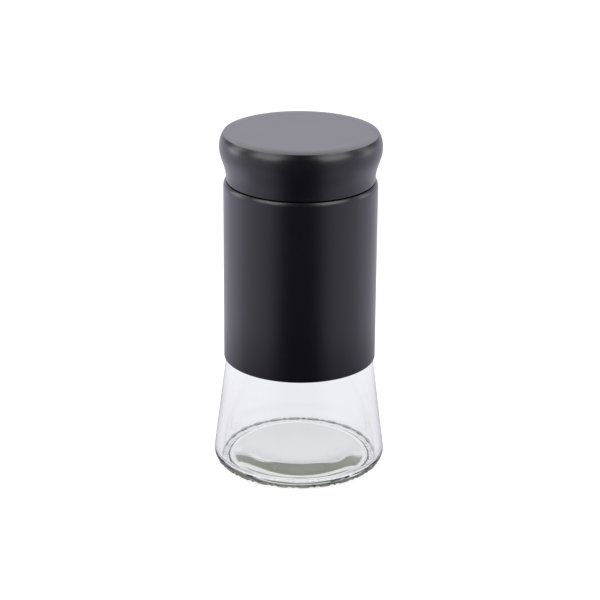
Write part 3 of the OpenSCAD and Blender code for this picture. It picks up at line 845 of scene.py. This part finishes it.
knob = turn("grind_knob", [
    (0, 118.4), (3, 118.4), (3, 116.4), (4.6, 116.4), (4.6, KNOB_Z), (KNOB_R, KNOB_Z, 0.4),
    (KNOB_R, KNOB_TOP, 1.2), (5.9, KNOB_TOP, 0.25), (5.1, 119.65, 0.3), (0, 119.65)],
    steps=180, closed=False)
flute = rod("flute", FLUTE_R, KNOB_Z - 1, KNOB_TOP + 1, KNOB_R + FLUTE_OUT, sides=24)
cut_away(knob, joined(copy_round(flute, FLUTES)))
cut_away(knob, bar("mark", (2.1, -0.4, 119.25), (5.1, 0.4, 120.2)))
apply_modifier(knob, "BEVEL", width=0.12 * MM, segments=2, limit_method="ANGLE",
               angle_limit=math.radians(40))
finish_mesh(knob)
place_on(knob, "adjuster", "black_plastic", "adjuster_knob")

# %% [markdown]
# ## The burrs
#
# Two sintered ceramic burrs do the grinding. The inner one is a cone with slanting
# grooves, and the outer one a ring with grooves up its bore. Both come from a ring of
# points in which some are pulled to another radius, like the teeth of a saw. The ring
# is extruded upward in steps that widen it and, on the cone, turn it, and its two
# ends are filled. The cone then gets its bore, and the ring burr is a plain round
# blank with its toothed plug cut away. Cutting each groove with its own Boolean would
# work too, but the saw-tooth keeps one side of each groove steep, the side that bites.

# %% Burrs
TIP = 0.7       # where the tip of a tooth is, as a share of its width


def toothed_plug(name, steps, teeth, depth, twist=0.0, points=8):
    """A solid through (radius, height) steps, from a circle with saw teeth of a depth in mm."""
    radius, height = steps[0]
    bpy.ops.object.select_all(action="DESELECT")
    bpy.ops.mesh.primitive_circle_add(vertices=teeth * points, radius=radius * MM,
                                      location=(0, 0, height * MM))
    plug = bpy.context.object
    plug.name = plug.data.name = name
    edit_mode(True)
    for tooth in range(1, points):
        moved = abs(depth) * (1 - abs(tooth - points * TIP) / (points * TIP))
        share = (radius - math.copysign(max(moved, 0), depth)) / radius
        pick(plug, "verts", lambda at, n: round(math.degrees(math.atan2(at.y, at.x))
                                                * teeth * points / 360) % points == tooth)
        bpy.ops.transform.resize(value=(share, share, 1), center_override=(0, 0, height * MM))
    for low, high in zip(steps, steps[1:]):
        pick(plug, "edges", lambda at, n: abs(at.z - low[1]) < 0.01)
        bpy.ops.mesh.extrude_edges_move(
            TRANSFORM_OT_translate={"value": (0, 0, (high[1] - low[1]) * MM)})
        wider = high[0] / low[0]
        centre = (0, 0, high[1] * MM)
        bpy.ops.transform.resize(value=(wider, wider, 1), center_override=centre)
        bpy.ops.transform.rotate(value=math.radians(twist / (len(steps) - 1)), orient_axis="Z",
                                 center_override=centre)
    for z in (height, steps[-1][1]):
        pick(plug, "edges", lambda at, n: abs(at.z - z) < 0.01)
        bpy.ops.mesh.edge_face_add()
    turn_faces_out()
    return plug


def straight(low_r, low, high_r, high, shares):
    """Steps along a straight flank, at shares of the way up."""
    return [(low_r + (high_r - low_r) * t, low + (high - low) * t) for t in shares]


CONE_Z, CONE_TOP = 98.9, 109.0
CONE_LOW_R, CONE_HIGH_R, CONE_BORE = 7.22, 13.6, 6.26
RING_Z = 99.5
RING_R, RING_LOW_R, RING_HIGH_R = 17.5, 10.5, 13.9
rise = [i / 10 for i in range(11)]

cone = toothed_plug("cone_burr", straight(CONE_LOW_R, CONE_Z, CONE_HIGH_R, CONE_TOP, rise),
                    teeth=12, depth=0.8, twist=-16)
cut_away(cone, rod("bore", CONE_BORE, CONE_Z - 1, CONE_TOP + 1, sides=96))
finish_mesh(cone, 25)
place_on(cone, "burr", "white_ceramic", "inner_burr")

ring = rod("ring_burr_body", RING_R, RING_Z, COVER_Z, sides=144)
flank = straight(RING_LOW_R, RING_Z, RING_HIGH_R, COVER_Z, [-0.1, *rise, 1.1])
cut_away(ring, toothed_plug("ring_plug", flank, teeth=18, depth=-0.9))
finish_mesh(ring, 25)
place_on(ring, "head", "white_ceramic", "ring_burr")

# %% [markdown]
# ## Finishes
#
# No surface is one even colour. Four small node groups carry the detail that several
# finishes share. Image textures could carry it too, but would need every piece
# unwrapped. The first group is the fine uneven skin of paint and moulded plastic,
# with slow clouds that keep a large plain surface from looking computed.

# %% Fine skin
def noise(tree, vector, scale, detail=2.0, roughness=0.5):
    """A Noise texture on a vector. Returns its factor, about 0.5 on average."""
    node = add_node(tree, "TexNoise")
    for name, value in (("Vector", vector), ("Scale", scale), ("Detail", detail),
                        ("Roughness", roughness)):
        feed(tree, node.inputs[name], value)
    return node.outputs["Fac"]


skin, skin_in, skin_out = new_group(
    "fine_skin",
    [("Vector", "Vector", None), ("Grains Per Metre", "Float", 900.0),
     ("Roughness", "Float", 0.4), ("Spread", "Float", 0.1)],
    [("Height", "Float"), ("Roughness", "Float"), ("Cloud", "Float")])
grain = noise(skin, skin_in.outputs["Vector"], skin_in.outputs["Grains Per Metre"], 3.0, 0.6)
cloud = noise(skin, skin_in.outputs["Vector"], 45.0, 3.0, 0.55)
skin.links.new(grain, skin_out.inputs["Height"])
skin.links.new(cloud, skin_out.inputs["Cloud"])
drift = math_node(skin, "SUBTRACT", cloud, 0.5)
drift = math_node(skin, "MULTIPLY_ADD", drift, skin_in.outputs["Spread"],
                  skin_in.outputs["Roughness"])
skin.links.new(drift, skin_out.inputs["Roughness"])
print("skin group has", len(skin.nodes), "nodes")

# %% [markdown]
# Edges rub pale. The Bevel node gives the normal that a rounded edge would have, and
# where it leans away from the real normal there is an edge, which saves a painted
# mask. A noise breaks the wear up into patches.

# %% Worn edges
EDGE_GAIN = 12.0        # turns the lean of a normal into a mask

edges, edges_in, edges_out = new_group(
    "worn_edges",
    [("Vector", "Vector", None), ("Width", "Float", 0.0003),
     ("Amount", "Float", 0.5)], [("Wear", "Float")])
rounded = add_node(edges, "Bevel")
rounded.samples = 4
edges.links.new(edges_in.outputs["Width"], rounded.inputs["Radius"])
facing = add_node(edges, "VectorMath")
facing.operation = "DOT_PRODUCT"
edges.links.new(rounded.outputs["Normal"], facing.inputs[0])
edges.links.new(add_node(edges, "NewGeometry").outputs["Normal"], facing.inputs[1])
bent = math_node(edges, "SUBTRACT", 1.0, facing.outputs["Value"])
patches = noise(edges, edges_in.outputs["Vector"], 350.0, 4.0, 0.6)
for factor in (EDGE_GAIN, patches, edges_in.outputs["Amount"]):
    bent = math_node(edges, "MULTIPLY", bent, factor)
edges.links.new(math_node(edges, "MINIMUM", bent, 1.0), edges_out.inputs["Wear"])
print("edge group has", len(edges.nodes), "nodes")

# %% [markdown]
# A lathe's tool leaves fine rings. A noise over the distance from the axis and the
# height is the same all the way round, as they are, and less even than a wave
# texture. The specks of the burrs are the middles of small cells, thinned by a noise.

# %% Turned marks and fired specks
lathe, lathe_in, lathe_out = new_group(
    "turned_marks",
    [("Vector", "Vector", None), ("Marks Per Metre", "Float", 6000.0)],
    [("Height", "Float")])
parts = add_node(lathe, "SeparateXYZ")
lathe.links.new(lathe_in.outputs["Vector"], parts.inputs[0])
reach = math_node(lathe, "MULTIPLY", parts.outputs["X"], parts.outputs["X"])
reach = math_node(lathe, "MULTIPLY_ADD", parts.outputs["Y"], parts.outputs["Y"], reach)
reach = math_node(lathe, "SQRT", reach, 0.0)
along = add_node(lathe, "CombineXYZ")
lathe.links.new(reach, along.inputs["X"])
lathe.links.new(parts.outputs["Z"], along.inputs["Z"])
lathe.links.new(noise(lathe, along.outputs[0], lathe_in.outputs["Marks Per Metre"], 2.0, 0.6),
                lathe_out.inputs["Height"])

specks, specks_in, specks_out = new_group(
    "fired_specks",
    [("Vector", "Vector", None), ("Specks Per Metre", "Float", 900.0),
     ("Size", "Float", 0.12)], [("Mask", "Float")])
cells = add_node(specks, "TexVoronoi")
specks.links.new(specks_in.outputs["Vector"], cells.inputs["Vector"])
specks.links.new(specks_in.outputs["Specks Per Metre"], cells.inputs["Scale"])
near = math_node(specks, "LESS_THAN", cells.outputs["Distance"], specks_in.outputs["Size"])
few = math_node(specks, "GREATER_THAN", noise(specks, specks_in.outputs["Vector"], 400.0), 0.52)
specks.links.new(math_node(specks, "MULTIPLY", near, few), specks_out.inputs["Mask"])
print("groups", [group.name for group in bpy.data.node_groups])

# %% [markdown]
# These helpers start a material, feed it from the groups, and cover objects with it.
# The solids that keep their CAD mesh get their finish through their material slots.

# %% Tools for finishes
def place_group(tree, group, vector, **values):
    """Puts a shared group in a material's tree, on a vector, and sets its inputs."""
    node = add_node(tree, "Group")
    node.node_tree = group
    tree.links.new(vector, node.inputs["Vector"])
    for socket, value in values.items():
        node.inputs[socket.replace("_", " ")].default_value = value
    return node


def new_finish(name, colour, **values):
    """Starts a material. Returns it, its tree, its shader and its Object coordinates."""
    made = bpy.data.materials.new(name)
    made.use_nodes = True
    tree = made.node_tree
    shader = tree.nodes["Principled BSDF"]
    shader.inputs["Base Color"].default_value = (*colour, 1)
    for socket, value in values.items():
        shader.inputs[socket.replace("_", " ")].default_value = value
    return made, tree, shader, add_node(tree, "TexCoord").outputs["Object"]


def add_bump(tree, shader, height, depth_mm):
    """Raises a shader's normal, or another bump's, by a height. Returns the Bump node."""
    bump = add_node(tree, "Bump")
    bump.inputs["Distance"].default_value = depth_mm * MM
    tree.links.new(height, bump.inputs["Height"])
    tree.links.new(bump.outputs["Normal"], shader.inputs["Normal"])
    return bump


def add_skin(tree, shader, vector, grains, roughness, spread, depth_mm, drift, worn, wear,
             width_mm=0.3):
    """Feeds a shader's colour, roughness and normal from the skin and edge groups."""
    fine = place_group(tree, skin, vector,
                       Grains_Per_Metre=grains, Roughness=roughness, Spread=spread)
    rubbed = place_group(tree, edges, vector, Amount=wear, Width=width_mm * MM)
    plain = shader.inputs["Base Color"].default_value[:3]
    colour = mix_colours(tree, fine.outputs["Cloud"], (*[v * (1 - drift) for v in plain], 1),
                         (*[min(v * (1 + drift), 1) for v in plain], 1))
    colour = mix_colours(tree, rubbed.outputs["Wear"], colour, (*worn, 1))
    tree.links.new(colour, shader.inputs["Base Color"])
    tree.links.new(fine.outputs["Roughness"], shader.inputs["Roughness"])
    return add_bump(tree, shader, fine.outputs["Height"], depth_mm), colour


def cover(material, *objects):
    """Gives objects this one material, through the slots that they have."""
    for thing in objects:
        if not thing.material_slots:
            thing.data.materials.append(material)
        for slot in thing.material_slots:
            slot.material = material
    print(material.name, "on", [thing.name for thing in objects])


# %% [markdown]
# ## Black paint
#
# Baked satin paint has almost no colour of its own, a trace of violet here, and a
# slight orange-peel skin that keeps reflections soft. It is one layer: no Coat.

# %% Black paint
paint, tree, shader, spot = new_finish("satin_black_paint", (0.0028, 0.0022, 0.0050))
add_skin(tree, shader, spot, grains=700.0, roughness=0.3, spread=0.06, depth_mm=0.004,
         drift=0.15, worn=(0.03, 0.03, 0.033), wear=0.12, width_mm=0.15)
cover(paint, sleeve, cap)

# %% [markdown]
# ## Clear glass
#
# Pressed glass is colourless where it is thin and faintly green where light runs
# along it, which only absorption inside the glass gives: a tinted surface would
# colour the thin wall as much as the thick foot. The mould leaves slow waves in the
# faces, which a very low noise in the bump brings back.

# %% Clear glass
glass, tree, shader, spot = new_finish("clear_glass", (0.97, 0.985, 0.98), Roughness=0.0,
                                       Transmission_Weight=1.0, IOR=1.5)
absorb = add_node(tree, "VolumeAbsorption")
absorb.inputs["Color"].default_value = (0.82, 0.88, 0.72, 1)
absorb.inputs["Density"].default_value = 8.0
tree.links.new(absorb.outputs[0], tree.nodes["Material Output"].inputs["Volume"])
add_bump(tree, shader, noise(tree, spot, 55.0, 1.0), 0.02)
cover(glass, jar)

# %% [markdown]
# ## Plastics and rubber
#
# Mouldings copy the fine spark-eroded grain of their mould, flow a little unevenly
# in colour, and rub pale along their edges. The black parts are a tough plastic, the
# hidden frame is grey, the rings that slide are uncoloured nylon, and the two seals
# are grey silicone, too soft to show much wear. One loop serves for all four.

# %% Plastics and rubber
for name, colour, worn, rough, grains, wear, pieces in (
        ("black_moulding", (0.02, 0.02, 0.021), (0.09, 0.09, 0.09), 0.42, 1500.0, 0.5,
         (plate, cup, knob, nodes["head_housing"])),
        ("grey_moulding", (0.2, 0.205, 0.21), (0.34, 0.34, 0.35), 0.45, 1300.0, 0.5,
         [nodes[n] for n in ("screw_collar", "burr_core", "burr_carrier")]),
        ("pale_nylon", (0.78, 0.77, 0.72), (0.6, 0.58, 0.52), 0.4, 1100.0, 0.4,
         [nodes[n] for n in ("glide_washer", "guide_ring")]),
        ("seal_silicone", (0.5, 0.5, 0.51), (0.6, 0.6, 0.61), 0.6, 1800.0, 0.15,
         (seal, nodes["jar_seal"]))):
    made, tree, shader, spot = new_finish(name, colour)
    add_skin(tree, shader, spot, grains, rough, spread=0.15, depth_mm=0.02, drift=0.08,
             worn=worn, wear=wear)
    cover(made, *pieces)

# %% [markdown]
# ## Ceramic
#
# The burrs are sintered: chalky white with a sandy skin, a few iron-brown specks
# fired into them, and teeth that take a faint grey from what they have ground. The
# edge mask carries the grey, so it follows the teeth.

# %% Ceramic
ceramic, tree, shader, spot = new_finish("burr_ceramic", (0.86, 0.85, 0.81))
bump, colour = add_skin(tree, shader, spot, grains=2500.0, roughness=0.55, spread=0.2,
                        depth_mm=0.03, drift=0.05, worn=(0.55, 0.53, 0.49), wear=0.6)
fired = place_group(tree, specks, spot)
tree.links.new(mix_colours(tree, fired.outputs["Mask"], colour, (0.32, 0.25, 0.18, 1)),
               shader.inputs["Base Color"])
cover(ceramic, cone, ring)

# %% [markdown]
# ## Steel and brass
#
# The metal parts are turned or stamped. A tool leaves fine rings round the axis, so
# their height depends on the distance from the axis and on the height alone. Edges
# are polished bright by use, and the brass nut has darkened a little elsewhere.

# %% Steel and brass
for name, colour, worn, pieces in (
        ("plain_steel", (0.56, 0.56, 0.57), (0.75, 0.75, 0.76),
         screws + [nodes[n] for n in ("spindle_spider", "spindle", "burr_spring",
                                      "retaining_ring", "burr_washer")]),
        ("turned_brass", (0.66, 0.49, 0.23), (0.85, 0.68, 0.36), [nodes["adjuster_nut"]])):
    made, tree, shader, spot = new_finish(name, colour, Metallic=1.0)
    bump, colour = add_skin(tree, shader, spot, grains=1200.0, roughness=0.3, spread=0.2,
                            depth_mm=0.006, drift=0.1, worn=worn, wear=0.8)
    add_bump(tree, bump, place_group(tree, lathe, spot).outputs["Height"], 0.004)
    cover(made, *pieces)
